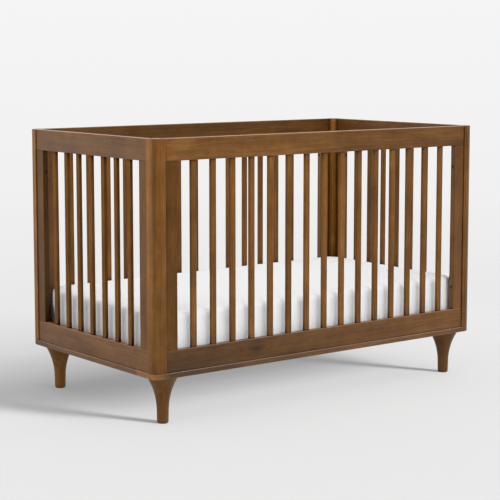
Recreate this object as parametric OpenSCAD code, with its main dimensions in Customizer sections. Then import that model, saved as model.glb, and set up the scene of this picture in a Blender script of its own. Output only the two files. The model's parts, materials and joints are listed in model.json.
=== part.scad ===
// Baby crib. Four corner posts with a large rounded outer corner hold four slatted panels. A thin
// base frame stands slightly proud of the panels, on four turned legs with a flared top. Inside, a
// black steel frame with a wire deck hangs by hooked arms from pins in the end panels, and carries
// the mattress. Each pin can go into one of several inserts, which sets the height of the mattress.
// Millimetres. +X runs along the crib, +Y to its back, +Z up; the origin is on the floor, at the
// centre of the outline.

/* [Overall] */
// Length over the corner posts
length = 1365; // [1350:1:1390]
// Width over the corner posts
width = 755; // [745:1:775]
// Height from the floor to the top edge
height = 889; // [860:1:930]
// Height from the floor to the underside of the base frame
leg_height = 152; // [140:1:160]

/* [Posts] */
// Side of the square corner post
post = 44; // [42:1:50]
// Radius of the post's outer corner
post_radius = 30; // [12:1:34]
// Rounding of the long wooden edges
edge = 2; // [1:0.5:3]
// Chamfer on the top of the posts, the outer edges of the base frame and the feet of the legs
chamfer = 1.5; // [0.5:0.5:2.5]

/* [Panels] */
// Depth of a panel's face behind the faces of the posts
panel_inset = 3.5; // [2:0.5:5]
// Thickness of the rails and stiles
panel_thickness = 20; // [18:1:24]
// Height of each top rail and bottom rail
rail_height = 69; // [55:1:80]
// Width of each stile
stile_width = 43; // [38:1:50]
// Width of a slat
slat_width = 20; // [17:1:24]
// Thickness of a slat
slat_thickness = 11; // [9:1:13]
// Number of slats in the front and back panels
long_slats = 15; // [14:1:17]
// Number of slats in each end panel
end_slats = 7; // [6:1:8]
// Length of the tenon on each end of a slat
tenon_length = 12; // [8:1:20]

/* [Base frame] */
// Thickness of the base frame
base_thickness = 17; // [15:1:22]
// Width of a base rail
base_width = 60; // [50:1:60]
// Side of a corner block
block = 104; // [100:1:115]

/* [Legs] */
// Distance from the crib's end to the middle of a leg
leg_from_end = 71; // [68:1:76]
// Distance from the crib's front or back to the middle of a leg
leg_from_side = 65; // [62:1:72]
// Diameter of the leg's flared top
leg_top_d = 105; // [90:1:118]
// Diameter of the leg where the flare begins
leg_shaft_d = 38; // [34:1:42]
// Diameter of the leg's foot
leg_foot_d = 36; // [32:1:40]
// Height at which the flare begins
flare_start = 40; // [25:1:60]
// Thickness of the glide under each leg
glide_thickness = 2; // [1.5:0.5:4]

/* [Fasteners] */
// Height of the lower panel bolts above the bottom rail
bolt_above = 79; // [60:1:90]
// Distance of the upper panel bolts below the top rail
bolt_below = 73; // [60:1:100]
// Diameter of the panel bolts
bolt_d = 6; // [5:1:6]
// Diameter of the threaded inserts
insert_d = 10; // [9:1:10]
// Length of the threaded inserts
insert_length = 13; // [10:1:14]

/* [Mattress support] */
// Height of the wire deck in the lowest setting
deck_height = 200; // [196:1:215]
// Height from one setting to the next
height_step = 76; // [50:1:80]
// Number of height settings
height_settings = 4; // [3:1:4]
// Height of the pins in the lowest setting
pin_height = 330; // [326:1:345]
// Diameter of a pin
pin_d = 8; // [6:1:8]
// Diameter of the deck's wires
wire_d = 3.2; // [2.8:0.2:4]
// Number of wires along the crib
long_wires = 9; // [7:1:13]
// Number of wires across the crib
cross_wires = 17; // [11:1:25]

/* [Mattress] */
// Length of the mattress
mattress_length = 1309; // [1290:1:1309]
// Width of the mattress
mattress_width = 692; // [680:1:696]
// Thickness of the mattress
mattress_thickness = 152; // [100:1:152]
// Radius of the mattress's corners in plan
mattress_corner = 62; // [58:1:80]

/* [Hidden] */
$fn = 64;

wood = [0.42, 0.27, 0.15];
black_steel = [0.06, 0.06, 0.065];
zinc = [0.72, 0.72, 0.74];
nylon = [0.25, 0.24, 0.23];
cloth = [0.95, 0.95, 0.94];

sides = [-1, 1];
eps = 0.01;

// Heights of the base frame and the panels
base_top = leg_height + base_thickness;
bottom_rail_top = base_top + rail_height;
top_rail_bottom = height - rail_height;
bolt_heights = [bottom_rail_top + bolt_above, top_rail_bottom - bolt_below];

// Plan of the panels
long_panel = length - 2 * post;
end_panel = width - 2 * post;
panel_middle = panel_inset + panel_thickness / 2;
panel_inner = panel_inset + panel_thickness;

// Fits of the fasteners and tenons
fit = 0.2;
head_d = 10;
head_length = 5;
counterbore_d = 12;
counterbore_depth = 6;
tenon_width = slat_width - 4;
tenon_thickness = slat_thickness - 4;
mortise_gap = 0.5;

// Screws that hold the base frame up to the posts and the bottom rails
screw_d = 4.5;
screw_head_d = 9;
screw_head_length = 3;
screw_in_wood = 30;
long_screws = [-350, 0, 350];
end_screws = [-130, 130];

// Hanger bolts between the legs and the base frame
hanger_d = 8;
hanger_in_leg = 40;
leg_insert_d = 12;
leg_insert_length = 15;

// Mattress support: angle-steel rails whose flange points outwards, with the deck on top
angle_t = 2.5;
angle_flange = 25;
angle_drop = 22;
support_top = deck_height - 2 * wire_d;
support_end = post + 2.5;
support_side = post - 8.5;
bar_width = 25;
bar_thickness = 3;
bar_places = [-320, 0, 320];

// Hooked arms, seen in the plane of an end panel: [distance from the crib's side, height]
arm_t = 3;
arm_width = 14;
arm_x = panel_inner + 0.5;
pin_side = post + stile_width / 2;
pin_head_d = 14;
pin_head_t = 3;
pin_insert_depth = 12;
hook_size = [32, 28];
hook_middle = [pin_side + 4, pin_height];
arm_top = [pin_side + 3, pin_height];
arm_foot = [pin_side + 67, support_top - angle_t - arm_t / 2];
foot_width = 30;
rivet_d = 6;
rivet_head_d = 11;
rivet_head_t = 1.5;

// Mattress: a closed shell whose wall gives it a real mattress's weight
mattress_wall = 8;
mattress_clearance = 0.3;

function pitch(panel, count) =
    (panel - 2 * stile_width - count * slat_width) / (count + 1) + slat_width;
function slat_places(panel, count) =
    [for (i = [0:count - 1]) (i - (count - 1) / 2) * pitch(panel, count)];
function spread(total, count) = [for (i = [0:count - 1]) -total / 2 + i * total / (count - 1)];

// ---- Frames of reference ----

// Puts its children in a corner's own frame: the origin on the floor below the outer corner,
// x and y pointing into the crib. end is -1 for left and 1 for right, side -1 for front.
module at_corner(end, side) {
    translate([end * length / 2, side * width / 2, 0])
        mirror([end > 0 ? 1 : 0, 0, 0])
            mirror([0, side > 0 ? 1 : 0, 0])
                children();
}

module at_corners() {
    for (end = sides, side = sides)
        at_corner(end, side) children();
}

// Put their children in a panel's own frame: x along the panel from its middle, y from the
// panel's outer face into the crib.
module at_long_panel(side) {
    mirror([0, side > 0 ? 1 : 0, 0])
        translate([0, -width / 2 + panel_inset, 0])
            children();
}

module at_end_panel(end) {
    mirror([end > 0 ? 1 : 0, 0, 0])
        translate([-length / 2 + panel_inset, 0, 0])
            mirror([1, 0, 0])
                rotate([0, 0, 90])
                    children();
}

// ---- Shapes used by several pieces ----

// What is cut from a square corner at the origin to round it
module corner_cut(r) {
    difference() {
        translate([-1, -1])
            square(r + 1);
        translate([r, r])
            circle(r);
    }
}

// A rectangle from the origin with its four corners rounded
module rounded_rect(size, r) {
    difference() {
        square(size);
        corner_cut(r);
        translate([size.x, 0])
            mirror([1, 0])
                corner_cut(r);
        translate([0, size.y])
            mirror([0, 1])
                corner_cut(r);
        translate(size)
            rotate(180)
                corner_cut(r);
    }
}

// What is cut from the top edge of a piece with a rounded outer corner, to chamfer it
module edge_cutter(reach) {
    triangle = [[chamfer, 1], [chamfer, 0], [0, -chamfer], [-1, -chamfer], [-1, 1]];
    translate([0, post_radius, 0])
        rotate([90, 0, 180])
            mirror([1, 0, 0])
                linear_extrude(reach)
                    polygon(triangle);
    translate([post_radius, 0, 0])
        rotate([90, 0, 90])
            linear_extrude(reach)
                polygon(triangle);
    intersection() {
        translate([post_radius, post_radius, 0])
            rotate_extrude()
                translate([post_radius, 0])
                    mirror([1, 0])
                        polygon(triangle);
        translate([-2, -2, -chamfer - 1])
            cube([post_radius + 2, post_radius + 2, chamfer + 3]);
    }
}

// A straight hole or shaft along X, from x = 0
module along_x(d, l) {
    rotate([0, 90, 0])
        cylinder(d = d, h = l);
}

// ---- Posts ----

module post_outline() {
    difference() {
        square(post);
        corner_cut(post_radius);
        translate([post, 0])
            mirror([1, 0])
                corner_cut(edge);
        translate([0, post])
            mirror([0, 1])
                corner_cut(edge);
        translate([post, post])
            rotate(180)
                corner_cut(edge);
    }
}

// Both places of a post's inserts at one height, with x out of the insert's mouth
module at_post_inserts() {
    for (z = bolt_heights) {
        translate([post - insert_length, panel_middle, z])
            children();
        translate([panel_middle, post - insert_length, z])
            rotate([0, 0, 90])
                children();
    }
}

module corner_post(end, side) {
    color(wood)
        at_corner(end, side)
            difference() {
                translate([0, 0, base_top])
                    linear_extrude(height - base_top)
                        post_outline();
                translate([0, 0, height])
                    edge_cutter(post);
                at_post_inserts()
                    along_x(insert_d, insert_length + 1);
                translate([post / 2, post / 2, base_top - 1])
                    cylinder(d = screw_d + fit, h = screw_in_wood + 1.5);
            }
}

module post_inserts() {
    color(zinc)
        at_corners()
            at_post_inserts()
                difference() {
                    along_x(insert_d, insert_length);
                    translate([-1, 0, 0])
                        along_x(bolt_d + fit, insert_length + 2);
                }
}

// ---- Panels ----

// A rail with a mortise for each slat in the edge that faces them
module rail(panel, count, bottom, mortise_z) {
    difference() {
        translate([-panel / 2, 0, bottom])
            rotate([90, 0, 90])
                linear_extrude(panel)
                    rounded_rect([panel_thickness, rail_height], edge);
        for (x = slat_places(panel, count))
            translate([x - tenon_width / 2 - fit / 2,
                       (panel_thickness - tenon_thickness - fit) / 2,
                       mortise_z])
                cube([tenon_width + fit, tenon_thickness + fit, tenon_length + mortise_gap + 1]);
    }
}

module top_rail(panel, count) {
    rail(panel, count, top_rail_bottom, top_rail_bottom - 1);
}

// The bottom rail also takes the base frame's screws
module bottom_rail(panel, count, screws) {
    difference() {
        rail(panel, count, base_top, bottom_rail_top - tenon_length - mortise_gap);
        for (x = screws)
            translate([x, panel_thickness / 2, base_top - 1])
                cylinder(d = screw_d + fit, h = screw_in_wood + 1.5);
    }
}

// A stile at the left (-1) or right (1) end of a panel, with its two counterbored bolt holes
module stile(panel, end) {
    mirror([end > 0 ? 1 : 0, 0, 0])
        translate([-panel / 2, 0, 0])
            difference() {
                translate([0, 0, bottom_rail_top])
                    linear_extrude(top_rail_bottom - bottom_rail_top)
                        rounded_rect([stile_width, panel_thickness], edge);
                for (z = bolt_heights)
                    translate([0, panel_thickness / 2, z]) {
                        translate([-1, 0, 0])
                            along_x(bolt_d + 2 * fit, stile_width + 2);
                        translate([stile_width - counterbore_depth, 0, 0])
                            along_x(counterbore_d, counterbore_depth + 1);
                    }
            }
}

module slats(panel, count) {
    for (x = slat_places(panel, count))
        translate([x, panel_thickness / 2, 0]) {
            translate([-slat_width / 2, -slat_thickness / 2, bottom_rail_top])
                linear_extrude(top_rail_bottom - bottom_rail_top)
                    rounded_rect([slat_width, slat_thickness], edge);
            translate([-tenon_width / 2, -tenon_thickness / 2, bottom_rail_top - tenon_length])
                cube([tenon_width, tenon_thickness,
                      top_rail_bottom - bottom_rail_top + 2 * tenon_length]);
        }
}

module long_top_rail(side) {
    color(wood)
        at_long_panel(side)
            top_rail(long_panel, long_slats);
}

module long_bottom_rail(side) {
    color(wood)
        at_long_panel(side)
            bottom_rail(long_panel, long_slats, long_screws);
}

module long_stile(side, end) {
    color(wood)
        at_long_panel(side)
            stile(long_panel, end);
}

module long_slat_row(side) {
    color(wood)
        at_long_panel(side)
            slats(long_panel, long_slats);
}

module end_top_rail(end) {
    color(wood)
        at_end_panel(end)
            top_rail(end_panel, end_slats);
}

module end_bottom_rail(end) {
    color(wood)
        at_end_panel(end)
            bottom_rail(end_panel, end_slats, end_screws);
}

// An end panel's stile also holds the threaded inserts for the height settings
module end_stile(end, side) {
    color(wood)
        difference() {
            at_end_panel(end)
                stile(end_panel, side);
            at_corner(end, side)
                at_height_inserts()
                    along_x(insert_d, insert_length + 1);
        }
}

module end_slat_row(end) {
    color(wood)
        at_end_panel(end)
            slats(end_panel, end_slats);
}

// ---- Panel bolts ----

module panel_bolt() {
    difference() {
        union() {
            along_x(bolt_d, stile_width - counterbore_depth + insert_length - 1 + eps);
            translate([stile_width - counterbore_depth + insert_length - 1, 0, 0])
                along_x(head_d, head_length);
        }
        translate([stile_width - counterbore_depth + insert_length + 1, 0, 0])
            rotate([0, 90, 0])
                cylinder(d = 5, h = head_length, $fn = 6);
    }
}

module panel_bolts() {
    color(black_steel)
        at_corners()
            at_post_inserts()
                translate([1, 0, 0])
                    panel_bolt();
}

// ---- Base frame ----

module screw_hole() {
    translate([0, 0, leg_height - 1])
        cylinder(d = screw_d + 2 * fit, h = base_thickness + 2);
    translate([0, 0, leg_height - eps])
        cylinder(d1 = screw_head_d + fit, d2 = screw_d + fit, h = screw_head_length + fit);
}

module base_block(end, side) {
    color(wood)
        at_corner(end, side)
            difference() {
                translate([0, 0, leg_height])
                    linear_extrude(base_thickness)
                        difference() {
                            square(block);
                            corner_cut(post_radius);
                        }
                translate([0, 0, base_top])
                    edge_cutter(block);
                translate([0, 0, leg_height])
                    mirror([0, 0, 1])
                        edge_cutter(block);
                translate([post / 2, post / 2, 0])
                    screw_hole();
                translate([leg_from_end, leg_from_side, leg_height - 1])
                    cylinder(d = leg_insert_d, h = leg_insert_length + 1);
            }
}

// A base rail between two corner blocks, in a panel's frame, chamfered on its outer edges
module base_rail(span, screws) {
    outline = [
        [chamfer, 0], [base_width, 0], [base_width, base_thickness], [chamfer, base_thickness],
        [0, base_thickness - chamfer], [0, chamfer]
    ];
    difference() {
        translate([-span / 2, -panel_inset, leg_height])
            rotate([90, 0, 90])
                linear_extrude(span)
                    polygon(outline);
        for (x = screws)
            translate([x, panel_thickness / 2, 0])
                screw_hole();
    }
}

module long_base_rail(side) {
    color(wood)
        at_long_panel(side)
            base_rail(length - 2 * block, long_screws);
}

module end_base_rail(end) {
    color(wood)
        at_end_panel(end)
            base_rail(width - 2 * block, end_screws);
}

module base_screw() {
    translate([0, 0, leg_height]) {
        cylinder(d1 = screw_head_d, d2 = screw_d, h = screw_head_length);
        translate([0, 0, screw_head_length - eps])
            cylinder(d = screw_d, h = base_thickness + screw_in_wood - screw_head_length);
    }
}

module base_screws() {
    color(zinc) {
        at_corners()
            translate([post / 2, post / 2, 0])
                base_screw();
        for (side = sides, x = long_screws)
            at_long_panel(side)
                translate([x, panel_thickness / 2, 0])
                    base_screw();
        for (end = sides, x = end_screws)
            at_end_panel(end)
                translate([x, panel_thickness / 2, 0])
                    base_screw();
    }
}

// ---- Legs ----

module at_leg(end, side) {
    at_corner(end, side)
        translate([leg_from_end, leg_from_side, 0])
            children();
}

// Half of a leg's outline: a slightly tapered shaft that runs into one round flare
module leg_outline() {
    shaft_r = leg_shaft_d / 2;
    rise = leg_height - flare_start;
    spread_r = (leg_top_d - leg_shaft_d) / 2;
    flare_r = (rise * rise + spread_r * spread_r) / (2 * spread_r);
    polygon([
        [0, glide_thickness], [leg_foot_d / 2 - chamfer, glide_thickness],
        [leg_foot_d / 2, glide_thickness + chamfer], [shaft_r, flare_start], [0, flare_start]
    ]);
    difference() {
        translate([0, flare_start])
            square([leg_top_d / 2, rise]);
        translate([shaft_r + flare_r, flare_start])
            circle(flare_r, $fn = 360);
    }
}

module leg(end, side) {
    color(wood)
        at_leg(end, side)
            difference() {
                rotate_extrude()
                    leg_outline();
                translate([0, 0, leg_height - hanger_in_leg - 1])
                    cylinder(d = hanger_d + fit, h = hanger_in_leg + 2);
                translate([0, 0, glide_thickness - 1])
                    cylinder(d = 3 + fit, h = 16);
            }
}

// A round nylon glide with its nail
module glide() {
    cylinder(d = leg_foot_d - 2 * chamfer - 1, h = glide_thickness);
    cylinder(d = 3, h = glide_thickness + 14);
}

module leg_glides() {
    color(nylon)
        for (end = sides, side = sides)
            at_leg(end, side)
                glide();
}

module leg_hanger_bolts() {
    color(zinc)
        for (end = sides, side = sides)
            at_leg(end, side)
                translate([0, 0, leg_height - hanger_in_leg])
                    cylinder(d = hanger_d, h = hanger_in_leg + leg_insert_length - 1);
}

module leg_inserts() {
    color(zinc)
        for (end = sides, side = sides)
            at_leg(end, side)
                translate([0, 0, leg_height])
                    difference() {
                        cylinder(d = leg_insert_d, h = leg_insert_length);
                        translate([0, 0, -1])
                            cylinder(d = hanger_d + fit, h = leg_insert_length + 2);
                    }
}

// ---- Height setting ----

// A corner's inserts for the pins, in the corner's frame, with x out of the insert's mouth
module at_height_inserts() {
    for (i = [0:height_settings - 1])
        translate([panel_inner - insert_length, pin_side, pin_height + i * height_step])
            children();
}

module height_inserts() {
    color(zinc)
        at_corners()
            at_height_inserts()
                difference() {
                    along_x(insert_d, insert_length);
                    translate([-1, 0, 0])
                        along_x(bolt_d + fit, insert_length + 2);
                }
}

module height_pins() {
    shoulder = arm_x - panel_inner + arm_t + 0.3;
    color(black_steel)
        at_corners()
            translate([panel_inner, pin_side, pin_height]) {
                translate([-pin_insert_depth, 0, 0])
                    along_x(bolt_d, pin_insert_depth + eps);
                along_x(pin_d, shoulder + eps);
                translate([shoulder, 0, 0])
                    along_x(pin_head_d, pin_head_t);
            }
}

// ---- Mattress support ----

// The section of an angle rail: the flange runs from x = 0 to the rail's upright leg
module angle_section() {
    translate([0, -angle_t])
        square([angle_flange, angle_t]);
    translate([angle_flange - angle_t, -angle_drop])
        square([angle_t, angle_drop]);
}

module support_long_rail(side) {
    span = length - 2 * support_end;
    color(black_steel)
        mirror([0, side > 0 ? 1 : 0, 0])
            translate([-span / 2, -width / 2 + support_side, support_top])
                rotate([90, 0, 90])
                    linear_extrude(span)
                        angle_section();
}

module support_end_rail(end) {
    span = width - 2 * (support_side + angle_flange);
    color(black_steel)
        difference() {
            mirror([end > 0 ? 1 : 0, 0, 0])
                translate([-length / 2 + support_end, span / 2, support_top])
                    rotate([90, 0, 0])
                        linear_extrude(span)
                            angle_section();
            for (side = sides)
                at_corner(end, side)
                    at_rivet()
                        cylinder(d = rivet_d + fit, h = 20, center = true);
        }
}

module support_cross_bars() {
    span = width - 2 * (support_side + angle_flange);
    color(black_steel)
        for (x = bar_places)
            translate([x - bar_width / 2, -span / 2, support_top - bar_thickness])
                cube([bar_width, span, bar_thickness]);
}

module deck_cross_wires() {
    span = width - 2 * support_side - 8;
    color(black_steel)
        for (x = spread(length - 2 * support_end - 50, cross_wires))
            translate([x, span / 2, support_top + wire_d / 2])
                rotate([90, 0, 0])
                    cylinder(d = wire_d, h = span);
}

module deck_long_wires() {
    span = length - 2 * support_end - 8;
    color(black_steel)
        for (y = spread(width - 2 * support_side - 30, long_wires))
            translate([-span / 2, y, support_top + wire_d * 1.5])
                along_x(wire_d, span);
}

// The outline of a hooked arm in an end panel's plane: a sloping neck, and a head with a slot
// that drops over the pin
module arm_outline() {
    run = arm_top - arm_foot;
    difference() {
        union() {
            translate(arm_foot)
                rotate(atan2(run.y, run.x))
                    translate([0, -arm_width / 2])
                        square([norm(run), arm_width]);
            translate(hook_middle - hook_size / 2)
                rounded_rect(hook_size, 6);
        }
        translate([pin_side, pin_height])
            circle(d = pin_d + 0.6);
        translate([pin_side - pin_d / 2 - 0.3, pin_height - hook_size.y])
            square([pin_d + 0.6, hook_size.y]);
    }
}

// The middle of an arm's rivet, at the height of the arm's foot
module at_rivet() {
    translate([support_end + (angle_flange - angle_t) / 2, arm_foot.x, arm_foot.y])
        children();
}

module arm(end, side) {
    foot_reach = support_end + angle_flange - angle_t - arm_x - 0.5;
    color(black_steel)
        at_corner(end, side)
            difference() {
                union() {
                    intersection() {
                        translate([arm_x, 0, 0])
                            rotate([90, 0, 90])
                                linear_extrude(arm_t)
                                    arm_outline();
                        translate([0, 0, arm_foot.y - arm_t / 2])
                            cube([100, 300, 400]);
                    }
                    translate([arm_x, arm_foot.x - foot_width / 2, arm_foot.y - arm_t / 2])
                        cube([foot_reach, foot_width, arm_t]);
                }
                at_rivet()
                    cylinder(d = rivet_d + fit, h = 20, center = true);
            }
}

module arm_rivets() {
    grip = arm_t + angle_t;
    color(zinc)
        at_corners()
            at_rivet()
                translate([0, 0, -arm_t / 2]) {
                    translate([0, 0, -rivet_head_t / 2])
                        cylinder(d = rivet_d, h = grip + rivet_head_t);
                    translate([0, 0, -rivet_head_t])
                        cylinder(d = rivet_head_d, h = rivet_head_t);
                    translate([0, 0, grip])
                        cylinder(d = rivet_head_d, h = rivet_head_t);
                }
}

// ---- Mattress ----

module mattress_block(inset) {
    size = [mattress_length - 2 * inset, mattress_width - 2 * inset];
    translate([-size.x / 2, -size.y / 2, deck_height + mattress_clearance + inset])
        linear_extrude(mattress_thickness - 2 * inset)
            rounded_rect(size, mattress_corner - inset);
}

module mattress() {
    color(cloth)
        difference() {
            mattress_block(0);
            mattress_block(mattress_wall);
        }
}

corner_post(-1, -1);  // post_front_left
corner_post(1, -1);  // post_front_right
corner_post(-1, 1);  // post_back_left
corner_post(1, 1);  // post_back_right
long_top_rail(-1);  // front_top_rail
long_bottom_rail(-1);  // front_bottom_rail
long_stile(-1, -1);  // front_stile_left
long_stile(-1, 1);  // front_stile_right
long_slat_row(-1);  // front_slats
long_top_rail(1);  // back_top_rail
long_bottom_rail(1);  // back_bottom_rail
long_stile(1, -1);  // back_stile_left
long_stile(1, 1);  // back_stile_right
long_slat_row(1);  // back_slats
end_top_rail(-1);  // left_top_rail
end_bottom_rail(-1);  // left_bottom_rail
end_stile(-1, -1);  // left_stile_front
end_stile(-1, 1);  // left_stile_back
end_slat_row(-1);  // left_slats
end_top_rail(1);  // right_top_rail
end_bottom_rail(1);  // right_bottom_rail
end_stile(1, -1);  // right_stile_front
end_stile(1, 1);  // right_stile_back
end_slat_row(1);  // right_slats
base_block(-1, -1);  // base_block_front_left
base_block(1, -1);  // base_block_front_right
base_block(-1, 1);  // base_block_back_left
base_block(1, 1);  // base_block_back_right
long_base_rail(-1);  // base_rail_front
long_base_rail(1);  // base_rail_back
end_base_rail(-1);  // base_rail_left
end_base_rail(1);  // base_rail_right
leg(-1, -1);  // leg_front_left
leg(1, -1);  // leg_front_right
leg(-1, 1);  // leg_back_left
leg(1, 1);  // leg_back_right
leg_glides();
leg_hanger_bolts();
leg_inserts();
panel_bolts();
post_inserts();
base_screws();
height_inserts();
height_pins();
support_long_rail(-1);  // support_rail_front
support_long_rail(1);  // support_rail_back
support_end_rail(-1);  // support_rail_left
support_end_rail(1);  // support_rail_right
support_cross_bars();
deck_long_wires();
deck_cross_wires();
arm(-1, -1);  // arm_front_left
arm(1, -1);  // arm_front_right
arm(-1, 1);  // arm_back_left
arm(1, 1);  // arm_back_right
arm_rivets();
mattress();
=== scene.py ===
import json
import math

import bmesh
import bpy
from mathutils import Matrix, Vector, noise


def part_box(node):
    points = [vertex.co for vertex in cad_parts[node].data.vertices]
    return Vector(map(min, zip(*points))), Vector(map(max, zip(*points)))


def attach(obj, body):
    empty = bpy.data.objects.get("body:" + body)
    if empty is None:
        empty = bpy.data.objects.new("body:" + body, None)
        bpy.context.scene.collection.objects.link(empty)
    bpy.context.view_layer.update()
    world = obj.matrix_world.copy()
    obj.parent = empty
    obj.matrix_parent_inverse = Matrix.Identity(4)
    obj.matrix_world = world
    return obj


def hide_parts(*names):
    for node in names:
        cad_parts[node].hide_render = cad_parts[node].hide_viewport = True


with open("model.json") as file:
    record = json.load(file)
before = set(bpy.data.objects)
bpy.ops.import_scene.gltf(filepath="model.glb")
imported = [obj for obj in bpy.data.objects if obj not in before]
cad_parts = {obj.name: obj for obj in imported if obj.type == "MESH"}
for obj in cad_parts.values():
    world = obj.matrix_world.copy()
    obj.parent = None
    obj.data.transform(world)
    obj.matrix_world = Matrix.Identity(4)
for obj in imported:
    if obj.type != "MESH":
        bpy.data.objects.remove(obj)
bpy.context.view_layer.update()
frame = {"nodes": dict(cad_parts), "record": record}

scene = bpy.context.scene
scene.view_settings.view_transform = "Standard"

KNEE = 0.85         # brightness above which the highlights are pressed together
WHITE = 1.20        # brightness that becomes the lightest tone
LIGHTEST = 0.985


def soften_highlights():
    """Keep some shade in the white mattress where nothing stands over it."""
    scene.view_settings.use_curve_mapping = True
    mapping = scene.view_settings.curve_mapping
    mapping.white_level = (WHITE, WHITE, WHITE)
    curve = mapping.curves[3]
    curve.points[-1].location = (1.0, LIGHTEST)
    curve.points.new(KNEE / WHITE, KNEE)
    for point in curve.points:
        point.handle_type = "VECTOR"
    mapping.update()


soften_highlights()

# ---------------------------------------------------------------- node helpers


class Nodes:
    """A small helper that adds shader nodes to a tree and links them in one call."""

    def __init__(self, tree):
        self.tree = tree
        self.count = 0

    def add(self, kind, settings=None, **inputs):
        node = self.tree.nodes.new(kind)
        self.count += 1
        node.location = (self.count * 180, 0)
        for key, value in (settings or {}).items():
            setattr(node, key, value)
        for key, value in inputs.items():
            self.put(node.inputs[key.replace("_", " ")], value)
        return node

    def put(self, socket, value):
        if isinstance(value, bpy.types.NodeSocket):
            self.tree.links.new(value, socket)
        else:
            socket.default_value = value

    def maths(self, operation, a, b=0.0, c=0.0, clamp=False):
        node = self.add("ShaderNodeMath", {"operation": operation, "use_clamp": clamp})
        for socket, value in zip(node.inputs, (a, b, c)):
            self.put(socket, value)
        return node.outputs[0]

    def vector(self, operation, a, b=(0, 0, 0)):
        node = self.add("ShaderNodeVectorMath", {"operation": operation})
        self.put(node.inputs[0], a)
        self.put(node.inputs[1], b)
        return node.outputs[0]

    def noise(self, where, scale, detail=2.0, roughness=0.5, distortion=0.0):
        node = self.add("ShaderNodeTexNoise", Vector=where, Scale=scale, Detail=detail,
                        Roughness=roughness, Distortion=distortion)
        return node.outputs["Fac"]

    def remap(self, value, low, high, to_low=0.0, to_high=1.0):
        node = self.add("ShaderNodeMapRange", {"clamp": True})
        for socket, v in zip(node.inputs, (value, low, high, to_low, to_high)):
            self.put(socket, v)
        return node.outputs[0]

    def mix(self, factor, a, b, blend="MIX"):
        node = self.add("ShaderNodeMix", {"data_type": "RGBA", "blend_type": blend})
        self.put(node.inputs["Factor"], factor)
        self.put(node.inputs[6], a)
        self.put(node.inputs[7], b)
        return node.outputs[2]

    def bump(self, height, distance, strength=1.0, normal=None):
        node = self.add("ShaderNodeBump", Height=height, Distance=distance, Strength=strength)
        if normal is not None:
            self.put(node.inputs["Normal"], normal)
        return node.outputs[0]


def new_material(name):
    material = bpy.data.materials.new(name)
    material.use_nodes = True
    tree = material.node_tree
    shader = tree.nodes["Principled BSDF"]
    return material, Nodes(tree), shader


def rgba(r, g, b):
    return (r, g, b, 1.0)


# ---------------------------------------------------------------- wood

WOOD_DARK = rgba(0.085, 0.032, 0.0050)
WOOD_MIDDLE = rgba(0.180, 0.072, 0.0115)
WOOD_LIGHT = rgba(0.290, 0.128, 0.0280)
WOOD_PORE = rgba(0.045, 0.016, 0.0035)
WOOD_EDGE_HIGHLIGHT = rgba(0.40, 0.29, 0.21)
CREASE_REACH = 0.011
SLAT_CREASE_REACH = 0.030
ARRIS_REACH = 0.004


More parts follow.
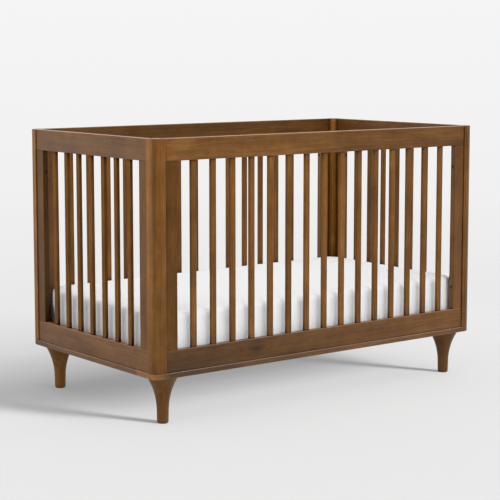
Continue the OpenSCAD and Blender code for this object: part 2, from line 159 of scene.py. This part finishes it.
def wood_material(name, grain_axis, seed, tones, ends, pitch=None, pitch_axis=0, knot=None,
                  painted_post_highlight=False, shine=0.28, painted_side_shade=None):
    """Walnut-stained wood with its grain along grain_axis. seed places the grain of this board and
    tones is how light it comes out at its two ends, which lie at ends along the grain; this is
    partly its stain and partly painted shade and light. With pitch, each piece of a row spaced that
    far apart along pitch_axis has a grain and tone of its own. knot is the middle (x, z) of a small
    knot, and painted_post_highlight paints a highlight on the side of a post towards its end panel
    by making it paler. shine is the lacquer's specular level, and painted_side_shade is (axis, share)
    for the faces across that axis, which get painted shade: they are made darker, down to share."""
    material, n, shader = new_material(name)
    coords = n.add("ShaderNodeTexCoord").outputs["Object"]
    axes = n.add("ShaderNodeSeparateXYZ", Vector=coords)

    place = seed * 7.31
    # tone along the grain: partly the board's stain, partly painted shade and light
    tone_here = n.remap(axes.outputs[grain_axis], *ends, *tones)
    if pitch:
        index = n.maths("ROUND", n.maths("DIVIDE", axes.outputs[pitch_axis], pitch))
        white = n.add("ShaderNodeTexWhiteNoise", {"noise_dimensions": "2D"},
                      Vector=n.add("ShaderNodeCombineXYZ", X=index, Y=seed).outputs[0])
        chance = white.outputs["Value"]
        place = n.maths("MULTIPLY_ADD", chance, 9.0, seed)
        tone_here = n.maths("MULTIPLY", n.remap(chance, 0.0, 1.0, 0.84, 1.16), tone_here)
    # painted highlight: the side of a post towards its end panel is made up to 1.75 times paler
    if painted_post_highlight:
        side = n.maths("ABSOLUTE", axes.outputs["Y"])
        tone_here = n.maths("MULTIPLY", n.remap(side, 0.346, 0.362, 1.75, 1.0), tone_here)
    facing = n.add("ShaderNodeSeparateXYZ",
                   Vector=n.add("ShaderNodeNewGeometry").outputs["Normal"]).outputs
    # painted shade: faces across the given axis are made darker, down to the given share
    if painted_side_shade:
        across = n.maths("ABSOLUTE", facing[painted_side_shade[0]])
        tone_here = n.maths("MULTIPLY", n.remap(across, 0.5, 0.9, 1.0, painted_side_shade[1]), tone_here)
    shift = n.vector("MULTIPLY",
                     n.add("ShaderNodeCombineXYZ", X=place, Y=place, Z=place).outputs[0],
                     (0.7, 1.3, 0.9))
    placed = n.vector("ADD", coords, shift)

    def stretched(share):
        scale = [1.0, 1.0, 1.0]
        scale[grain_axis] = share
        return n.vector("MULTIPLY", placed, tuple(scale))

    long_grain = stretched(0.05)
    blotch = n.noise(stretched(0.45), 16.0, 3.0, 0.55)
    figure = n.noise(long_grain, 34.0, 3.0, 0.55, 0.6)
    fibre = n.noise(long_grain, 230.0, 4.0, 0.62)
    pores = n.noise(stretched(0.022), 950.0, 1.5, 0.5)
    chatoyance = n.noise(stretched(1.6), 30.0, 2.0, 0.5)

    # growth rings: fine lines that wander with the figure and cross both faces of a board
    cross = [0.62, 0.62, 0.62]
    cross[grain_axis] = 0.0
    cross[(grain_axis + 1) % 3] = 0.9
    along = n.add("ShaderNodeVectorMath", {"operation": "DOT_PRODUCT"})
    n.put(along.inputs[0], placed)
    n.put(along.inputs[1], tuple(cross))
    ring_place = n.maths("MULTIPLY_ADD", figure, 0.045, along.outputs["Value"])
    knot_mask = 0.0
    if knot:
        away = n.vector("SUBTRACT", coords, (knot[0], 0.0, knot[1]))
        away = n.add("ShaderNodeVectorMath", {"operation": "LENGTH"},
                     Vector=n.vector("MULTIPLY", away, (0.42, 0.0, 1.0))).outputs["Value"]
        knot_mask = n.remap(n.maths("MULTIPLY_ADD", figure, 0.012, away), 0.006, 0.020, 0.9, 0.0)
        ring_place = n.maths("ADD", ring_place, n.remap(away, 0.0, 0.045, 0.030, 0.0))
    rings = n.maths("MULTIPLY_ADD", n.maths("SINE", n.maths("MULTIPLY", ring_place, 620.0)), 0.5, 0.5)

    shade = n.maths("MULTIPLY_ADD", blotch, 0.62, -0.02)
    shade = n.maths("MULTIPLY_ADD", figure, 0.42, shade)
    shade = n.maths("MULTIPLY_ADD", fibre, 0.30, shade)
    shade = n.maths("MULTIPLY_ADD", rings, 0.09, shade)
    shade = n.maths("MULTIPLY_ADD", chatoyance, 0.16, shade)
    shade = n.remap(shade, 0.48, 1.10)
    ramp = n.add("ShaderNodeValToRGB", Fac=shade)
    stops = ramp.color_ramp.elements
    stops[0].position, stops[0].color = 0.0, WOOD_DARK
    stops[1].position, stops[1].color = 1.0, WOOD_LIGHT
    stops.new(0.50).color = WOOD_MIDDLE
    pore_mask = n.remap(pores, 0.60, 0.72, 0.0, 0.50)
    colour = n.mix(pore_mask, ramp.outputs[0], WOOD_PORE)
    if knot:
        colour = n.mix(knot_mask, colour, WOOD_PORE)
    # painted shade darkens the wood in the joints and creases; end grain on top of upright pieces is
    # darker with stain, the top faces of other boards are painted lighter as if lit from above, and
    # upward edges get a painted highlight
    near = n.add("ShaderNodeAmbientOcclusion", {"samples": 6},
                 Distance=SLAT_CREASE_REACH if pitch else CREASE_REACH)
    if pitch:
        painted_shade_light_end_grain = n.remap(near.outputs["AO"], 0.62, 0.97, 0.14, 1.0)
    else:
        painted_shade_light_end_grain = n.remap(near.outputs["AO"], 0.45, 0.95, 0.26, 1.0)
    # top faces: end grain on upright pieces is darker with stain, other boards' tops are painted
    # lighter as if lit from above
    above = n.remap(facing[2], 0.3, 0.8)
    painted_shade_light_end_grain = n.maths("ADD", n.maths("MULTIPLY", painted_shade_light_end_grain, n.maths("SUBTRACT", 1.0, above)),
                    n.maths("MULTIPLY", above, 0.55 if grain_axis == 2 else 1.3))
    tone_vector = n.add("ShaderNodeCombineXYZ")
    for socket in tone_vector.inputs:
        n.put(socket, n.maths("MULTIPLY", painted_shade_light_end_grain, tone_here))
    colour = n.mix(1.0, colour, tone_vector.outputs[0], "MULTIPLY")
    # painted highlight: upward-facing rounded edges are mixed towards a pale colour
    if grain_axis != 2:
        arris = n.add("ShaderNodeAmbientOcclusion", {"samples": 4, "inside": True},
                      Distance=ARRIS_REACH)
        painted_edge_highlight = n.maths("MULTIPLY", n.remap(arris.outputs["AO"], 0.55, 0.90, 0.75, 0.0),
                         n.remap(facing[2], 0.0, 0.5))
        colour = n.mix(painted_edge_highlight, colour, WOOD_EDGE_HIGHLIGHT)

    n.put(shader.inputs["Base Color"], colour)
    n.put(shader.inputs["Roughness"], n.remap(fibre, 0.3, 0.7, 0.34, 0.44))
    shader.inputs["Specular IOR Level"].default_value = shine
    shader.inputs["Coat Weight"].default_value = 0.06
    shader.inputs["Coat Roughness"].default_value = 0.22
    shader.inputs["Coat IOR"].default_value = 1.48
    relief = n.maths("MULTIPLY_ADD", pore_mask, -0.8, fibre)
    n.put(shader.inputs["Normal"], n.bump(relief, 0.00020, 0.5))
    return material


# ---------------------------------------------------------------- metal and nylon


def black_steel_material():
    material, n, shader = new_material("black_powder_coat")
    coords = n.add("ShaderNodeTexCoord").outputs["Object"]
    peel = n.noise(coords, 900.0, 2.0, 0.5)
    dust = n.noise(coords, 14.0, 3.0, 0.6)
    n.put(shader.inputs["Base Color"], n.mix(n.remap(dust, 0.35, 0.75, 0.0, 0.35),
                                             rgba(0.012, 0.012, 0.013), rgba(0.035, 0.035, 0.036)))
    n.put(shader.inputs["Roughness"], n.remap(dust, 0.3, 0.7, 0.38, 0.52))
    n.put(shader.inputs["Normal"], n.bump(peel, 0.0002, 0.5))
    return material


def zinc_material():
    material, n, shader = new_material("zinc_plate")
    coords = n.add("ShaderNodeTexCoord").outputs["Object"]
    bloom = n.noise(coords, 60.0, 4.0, 0.6)
    turning = n.noise(n.vector("MULTIPLY", coords, (1.0, 1.0, 14.0)), 400.0, 2.0, 0.5)
    n.put(shader.inputs["Base Color"], n.mix(n.remap(bloom, 0.35, 0.7),
                                             rgba(0.42, 0.42, 0.43), rgba(0.60, 0.60, 0.60)))
    shader.inputs["Metallic"].default_value = 1.0
    n.put(shader.inputs["Roughness"], n.remap(turning, 0.3, 0.7, 0.28, 0.42))
    n.put(shader.inputs["Normal"], n.bump(turning, 0.0001, 0.4))
    return material


def nylon_material():
    material, n, shader = new_material("nylon_glide")
    coords = n.add("ShaderNodeTexCoord").outputs["Object"]
    scuff = n.noise(coords, 180.0, 3.0, 0.6)
    n.put(shader.inputs["Base Color"], n.mix(n.remap(scuff, 0.4, 0.7),
                                             rgba(0.060, 0.050, 0.042), rgba(0.11, 0.095, 0.08)))
    n.put(shader.inputs["Roughness"], n.remap(scuff, 0.3, 0.7, 0.45, 0.65))
    n.put(shader.inputs["Normal"], n.bump(scuff, 0.0002, 0.4))
    return material


def mattress_material():
    material, n, shader = new_material("mattress_cotton")
    coords = n.add("ShaderNodeTexCoord").outputs["Object"]
    threads = 2 * math.pi / 0.0011
    axes = n.add("ShaderNodeSeparateXYZ", Vector=coords)
    warp = n.maths("SINE", n.maths("MULTIPLY", axes.outputs[0], threads))
    weft = n.maths("SINE", n.maths("MULTIPLY", axes.outputs[1], threads))
    rise = n.maths("SINE", n.maths("MULTIPLY", axes.outputs[2], threads))
    weave = n.maths("ADD", n.maths("MULTIPLY", warp, weft), n.maths("MULTIPLY", rise, 0.5))
    slub = n.noise(n.vector("MULTIPLY", coords, (1.0, 0.12, 1.0)), 420.0, 2.0, 0.5)
    soft = n.noise(coords, 7.0, 3.0, 0.5)
    tint = n.mix(n.remap(soft, 0.3, 0.7), rgba(0.895, 0.908, 0.922), rgba(0.930, 0.942, 0.954))
    tint = n.mix(n.remap(slub, 0.55, 0.8, 0.0, 0.12), tint, rgba(0.80, 0.81, 0.83))
    n.put(shader.inputs["Base Color"], tint)
    shader.inputs["Roughness"].default_value = 0.92
    shader.inputs["Specular IOR Level"].default_value = 0.05
    shader.inputs["Sheen Weight"].default_value = 0.06
    shader.inputs["Sheen Roughness"].default_value = 0.5
    height = n.maths("MULTIPLY_ADD", slub, 0.6, n.maths("MULTIPLY", weave, 0.25))
    n.put(shader.inputs["Normal"], n.bump(height, 0.00025, 0.6))
    return material


black_steel = black_steel_material()
zinc = zinc_material()
nylon = nylon_material()
cotton = mattress_material()

# ---------------------------------------------------------------- which node takes which finish

LONG_PITCH = 0.07569
END_PITCH = 0.07514
BLOCK_FADE = 0.055
RUNS_ALONG = {"front": 0, "back": 0, "left": 1, "right": 1}

# how light each board comes out at its low end and at its high end along the grain, also for the
# families and slats below: partly the stain it took and partly painted shade and light
TONES = {
    "front_top_rail": (1.04, 0.72),
    "front_bottom_rail": (0.42, 0.86),
    "front_stile_left": (0.60, 0.62),
    "front_stile_right": (0.80, 0.84),
    "left_top_rail": (0.84, 0.84),
    "left_bottom_rail": (0.86, 0.82),
    "left_stile_back": (0.62, 0.66),
    "left_stile_front": (0.80, 0.88),
    "back_top_rail": (0.66, 0.62),
    "right_top_rail": (0.80, 0.76),
    "base_rail_front": (0.44, 0.84),
    "base_rail_left": (0.70, 0.76),
    "base_block_front_left": (1.25, 0.36),
    "base_block_back_left": (0.46, 0.46),
    "base_block_front_right": (0.60, 0.50),
    "post_front_left": (0.70, 1.08),
    "post_front_right": (0.76, 0.92),
    "leg_front_left": (0.80, 0.66),
    "leg_back_left": (1.00, 0.92),
}
FAMILY_TONES = {"leg": (0.60, 0.56), "base": (0.60, 0.66), "post": (0.70, 0.86)}
SLAT_TONES = {"front": (0.94, 1.02), "left": (0.98, 1.04)}
SHINE = {"post": 0.16, "leg": 0.16, "base": 0.42, "front_stile_left": 0.12,
         "left_stile_back": 0.16, "left_stile_front": 0.18}


def wood_for(node, seed):
    side = node.split("_")[0]
    grain = 2
    if node.endswith("_rail") and side in RUNS_ALONG:
        grain = RUNS_ALONG[side]
    if node.startswith("base_rail"):
        grain = RUNS_ALONG[node.split("_")[-1]]
    if node.startswith("base_block"):
        grain = 0
    low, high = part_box(node)
    ends = (low[grain], high[grain])
    if node.startswith("base_block"):
        ends = (low[grain], low[grain] + BLOCK_FADE)
    name = node + "_wood"
    if node.endswith("_slats"):
        row = RUNS_ALONG[side]
        pitch = END_PITCH if row else LONG_PITCH
        tones = SLAT_TONES.get(side, (0.86, 0.90))
        shine = 0.03 if side == "left" else 0.16
        return wood_material(name, grain, seed, tones, ends, pitch, row, shine=shine,
                             painted_side_shade=(1, 0.62) if side == "left" else None)
    tones = TONES.get(node, FAMILY_TONES.get(side, (0.80, 0.84)))
    shine = SHINE.get(node, SHINE.get(side, 0.28))
    knot = (-0.290, 0.203) if node == "front_bottom_rail" else None
    return wood_material(name, grain, seed, tones, ends, knot=knot, painted_post_highlight=side == "post",
                         shine=shine, painted_side_shade=(1, 0.45) if node.startswith("left_stile") else None)


finishes = {"black_steel": black_steel, "zinc_steel": zinc, "nylon": nylon,
            "mattress_cotton": cotton}
slot_of = {part["node"]: part["material_slot"] for part in frame["record"]["subparts"]}
for seed, (node, piece) in enumerate(sorted(frame["nodes"].items())):
    chosen = wood_for(node, seed) if slot_of[node] == "walnut_wood" else finishes[slot_of[node]]
    piece.data.materials.clear()
    piece.data.materials.append(chosen)

# ---------------------------------------------------------------- mattress

CORNER = 0.060      # radius of the corners in plan
ROLL = 0.019        # radius of the top and bottom edges
SWELL = 0.0035      # how far the filling may push the cover out
CELL = 0.009        # size of the cloth's mesh


def rounded_block(name, low, high):
    """A block with rounded corners in plan and softer edges at the top and bottom."""
    bm = bmesh.new()
    bmesh.ops.create_cube(bm, size=1.0)
    size, middle = high - low, (high + low) / 2
    for vert in bm.verts:
        vert.co = Vector(c * s for c, s in zip(vert.co, size)) + middle
    upright = [e for e in bm.edges if abs(e.verts[0].co.z - e.verts[1].co.z) > size.z / 2]
    bmesh.ops.bevel(bm, geom=upright, offset=CORNER, segments=9, profile=0.5, affect="EDGES")
    rims = [e for e in bm.edges if abs(e.verts[0].co.z - e.verts[1].co.z) < 1e-6
            and len({abs(f.normal.z) > 0.5 for f in e.link_faces}) == 2]
    bmesh.ops.bevel(bm, geom=rims, offset=ROLL, segments=5, profile=0.5, affect="EDGES")
    mesh = bpy.data.meshes.new(name)
    bm.to_mesh(mesh)
    bm.free()
    piece = bpy.data.objects.new(name, mesh)
    scene.collection.objects.link(piece)
    return piece


def applied(piece):
    """The piece's mesh as its modifiers leave it, with the modifiers gone."""
    depsgraph = bpy.context.evaluated_depsgraph_get()
    mesh = bpy.data.meshes.new_from_object(piece.evaluated_get(depsgraph), depsgraph=depsgraph)
    piece.modifiers.clear()
    piece.data = mesh


def puffed(piece):
    """Blow the cover up from inside as cloth, then let no point go further than SWELL."""
    before = [v.co.copy() for v in piece.data.vertices]
    cloth = piece.modifiers.new("cover", "CLOTH")
    settings = cloth.settings
    settings.quality = 5
    settings.use_pressure = True
    settings.uniform_pressure_force = 4.0
    settings.tension_stiffness = 40.0
    settings.compression_stiffness = 40.0
    settings.shear_stiffness = 20.0
    settings.bending_stiffness = 2.0
    settings.effector_weights.gravity = 0.0
    cloth.collision_settings.use_collision = False
    for number in range(1, 21):
        scene.frame_set(number)
    applied(piece)
    scene.frame_set(1)
    for vert, start in zip(piece.data.vertices, before):
        move = vert.co - start
        if move.length > SWELL:
            move *= SWELL / move.length
        vert.co = start + move


def sewn(piece, low, high):
    """Press the seam lines in, and the slight pull that the cover has near its corners."""
    half = (high - low) / 2
    middle = (high + low) / 2
    for vert in piece.data.vertices:
        x, y, z = vert.co - middle
        corner = Vector((abs(x) - half.x + CORNER, abs(y) - half.y + CORNER))
        outward = Vector((math.copysign(1, x), math.copysign(1, y), 0)).normalized()
        # one seam down the middle of each corner
        if corner.x > 0 and corner.y > 0:
            off = abs(corner.x - corner.y) / 1.4142
            vert.co -= outward * 0.0014 * math.exp(-(off / 0.004) ** 2)
        # soft pulls that fan out along the top edge from the corners
        reach = math.hypot(max(0, half.x - abs(x)), max(0, half.y - abs(y)))
        fade = math.exp(-(reach / 0.16) ** 2)
        ripple = noise.noise(Vector((x * 26, y * 26, z * 9 + 3.1)))
        settle = noise.noise(Vector((x * 5, y * 5, 7.7)))
        if z > -half.z + 0.012:
            vert.co.z += (0.0011 * ripple * fade + 0.0009 * settle) * (z > half.z * 0.4)
            vert.co -= outward * 0.0009 * ripple * fade


def build_mattress():
    low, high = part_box("mattress")
    shrink = Vector((SWELL, SWELL, 0.0))
    start_high = high - shrink - Vector((0, 0, SWELL * 0.6))
    piece = rounded_block("mattress_pad", low + shrink, start_high)
    remesh = piece.modifiers.new("even_mesh", "REMESH")
    remesh.mode = "VOXEL"
    remesh.voxel_size = CELL
    applied(piece)
    puffed(piece)
    for vert in piece.data.vertices:
        vert.co.z = max(vert.co.z, low.z)
    smooth = piece.modifiers.new("finer", "SUBSURF")
    smooth.levels = smooth.render_levels = 1
    applied(piece)
    sewn(piece, low, high)
    for polygon in piece.data.polygons:
        polygon.use_smooth = True
    piece.data.materials.clear()
    piece.data.materials.append(cotton)
    return piece


mattress = build_mattress()
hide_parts("mattress")
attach(mattress, "mattress")

# ---------------------------------------------------------------- floor, light and camera


def build_floor():
    mesh = bpy.data.meshes.new("floor")
    reach = 14.0
    mesh.from_pydata([(-reach, -reach, 0), (reach, -reach, 0), (reach, reach, 0),
                      (-reach, reach, 0)], [], [(0, 1, 2, 3)])
    floor = bpy.data.objects.new("floor", mesh)
    scene.collection.objects.link(floor)
    material, n, shader = new_material("studio_floor")
    coords = n.add("ShaderNodeTexCoord").outputs["Object"]
    distance = n.add("ShaderNodeVectorMath", {"operation": "LENGTH"})
    n.put(distance.inputs[0], coords)
    # painted light: the whole floor glows evenly a little, and behind the crib it glows more and
    # takes less of the lamps, which fades the crib's shadow there as a low fill light would
    depth = n.add("ShaderNodeSeparateXYZ", Vector=coords).outputs["Y"]
    painted_fill_glow = n.remap(depth, 0.35, 0.90, 0.0, 0.60)
    n.put(shader.inputs["Base Color"],
          n.mix(painted_fill_glow, rgba(0.20, 0.20, 0.20), rgba(0.0, 0.0, 0.0)))
    shader.inputs["Roughness"].default_value = 0.9
    shader.inputs["Specular IOR Level"].default_value = 0.1
    shader.inputs["Emission Color"].default_value = rgba(1.0, 1.0, 1.0)
    n.put(shader.inputs["Emission Strength"], n.maths("MULTIPLY_ADD", painted_fill_glow, 0.55, 0.21))
    n.put(shader.inputs["Alpha"], n.remap(distance.outputs["Value"], 2.0, 7.0, 1.0, 0.0))
    mesh.materials.append(material)
    return floor


def build_world():
    """White studio surroundings: what the camera sees, what lights the crib and what it mirrors."""
    world = bpy.data.worlds.new("studio")
    scene.world = world
    world.use_nodes = True
    tree = world.node_tree
    n = Nodes(tree)
    background = tree.nodes["Background"]
    ray = n.add("ShaderNodeLightPath").outputs
    direction = n.add("ShaderNodeTexCoord").outputs["Generated"]
    axes = n.add("ShaderNodeSeparateXYZ", Vector=direction).outputs
    seen = n.remap(axes["Z"], -0.12, 0.08, 0.897, 1.044)
    # a white ceiling and a broad soft box in front and to the right
    towards = n.add("ShaderNodeVectorMath", {"operation": "DOT_PRODUCT"})
    n.put(towards.inputs[0], direction)
    n.put(towards.inputs[1], (0.44, -0.77, 0.46))
    box = n.maths("POWER", n.remap(towards.outputs["Value"], 0.20, 1.0), 1.5)
    light = n.maths("MULTIPLY_ADD", box, 0.75, n.remap(axes["Z"], -0.2, 1.0, 0.55, 1.15))
    # what shines in the finish: a dark room in front, white behind, a bright ceiling
    ahead = n.add("ShaderNodeVectorMath", {"operation": "DOT_PRODUCT"})
    n.put(ahead.inputs[0], direction)
    n.put(ahead.inputs[1], (-0.35, -0.94, 0.0))
    walls = n.remap(ahead.outputs["Value"], -0.15, 0.56, 1.1, 0.05)
    strip = n.add("ShaderNodeVectorMath", {"operation": "DOT_PRODUCT"})
    n.put(strip.inputs[0], direction)
    n.put(strip.inputs[1], (-0.97, 0.24, 0.0))
    walls = n.maths("ADD", walls, n.remap(strip.outputs["Value"], 0.93, 0.985, 0.0, 5.0))
    mirrored = n.maths("ADD", walls, n.remap(axes["Z"], 0.60, 0.80, 0.0, 3.0))
    shade = n.mix(ray["Is Glossy Ray"], light, mirrored)
    shade = n.mix(ray["Is Camera Ray"], shade, seen)
    background.inputs["Color"].default_value = rgba(1.0, 1.0, 1.0)
    n.put(background.inputs["Strength"], shade)


def build_lamp(name, energy, size, azimuth, elevation):
    """A soft lamp in front and to the right, which doesn't show in the finish."""
    light = bpy.data.lights.new(name, "SUN")
    light.energy = energy
    light.angle = math.radians(size)
    lamp = bpy.data.objects.new(name, light)
    turn, drop = math.radians(azimuth), math.radians(elevation)
    travel = Vector((-math.sin(turn) * math.cos(drop), math.cos(turn) * math.cos(drop),
                     -math.sin(drop)))
    lamp.rotation_mode = "QUATERNION"
    lamp.rotation_quaternion = travel.to_track_quat("-Z", "Y")
    lamp.visible_glossy = False
    scene.collection.objects.link(lamp)
    return lamp


def collection_of(name, objects):
    group = bpy.data.collections.new(name)
    for piece in objects:
        group.objects.link(piece)
    return group


def light_wood():
    """The lamp that the wood and the metal are seen by."""
    lamp = build_lamp("key", 0.4, 36, 28, 24)
    lamp.light_linking.receiver_collection = collection_of("lit_crib", frame["nodes"].values())


def light_floor(floor):
    """A tall, narrow lamp for the floor alone, made of a column of round ones and shaded only by
    the lower part of the crib."""
    low_pieces = [piece for node, piece in frame["nodes"].items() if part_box(node)[1].z < 0.40]
    lit = collection_of("lit_floor", [floor])
    shading = collection_of("floor_shading", low_pieces + [mattress])
    for elevation, share in ((13, 0.36), (20, 0.40), (28, 0.24)):
        strength = 5.8 * share / math.sin(math.radians(elevation))
        lamp = build_lamp("floor_lamp", strength, 12, 28, elevation)
        lamp.light_linking.receiver_collection = lit
        lamp.light_linking.blocker_collection = shading


def light_mattress():
    """A weak lamp at the front that lifts the sides of the mattress between the slats."""
    lamp = build_lamp("mattress_lamp", 0.48, 30, -6, 25)
    only_mattress = collection_of("lit_mattress", [mattress])
    lamp.light_linking.receiver_collection = only_mattress
    lamp.light_linking.blocker_collection = only_mattress


def build_camera():
    data = bpy.data.cameras.new("camera")
    data.sensor_width = 36.0
    data.lens = 107.09
    data.shift_y = -0.06
    data.clip_start, data.clip_end = 0.1, 100.0
    camera = bpy.data.objects.new("camera", data)
    yaw, pitch = math.radians(37.667), math.radians(6.455)
    forward = Vector((math.sin(yaw) * math.cos(pitch), math.cos(yaw) * math.cos(pitch),
                      -math.sin(pitch)))
    camera.location = (-3.1673, -4.0677, 1.1484)
    camera.rotation_mode = "QUATERNION"
    camera.rotation_quaternion = forward.to_track_quat("-Z", "Y")
    scene.collection.objects.link(camera)
    scene.camera = camera


floor = build_floor()
build_world()
light_wood()
light_floor(floor)
light_mattress()
build_camera()

bpy.context.view_layer.update()
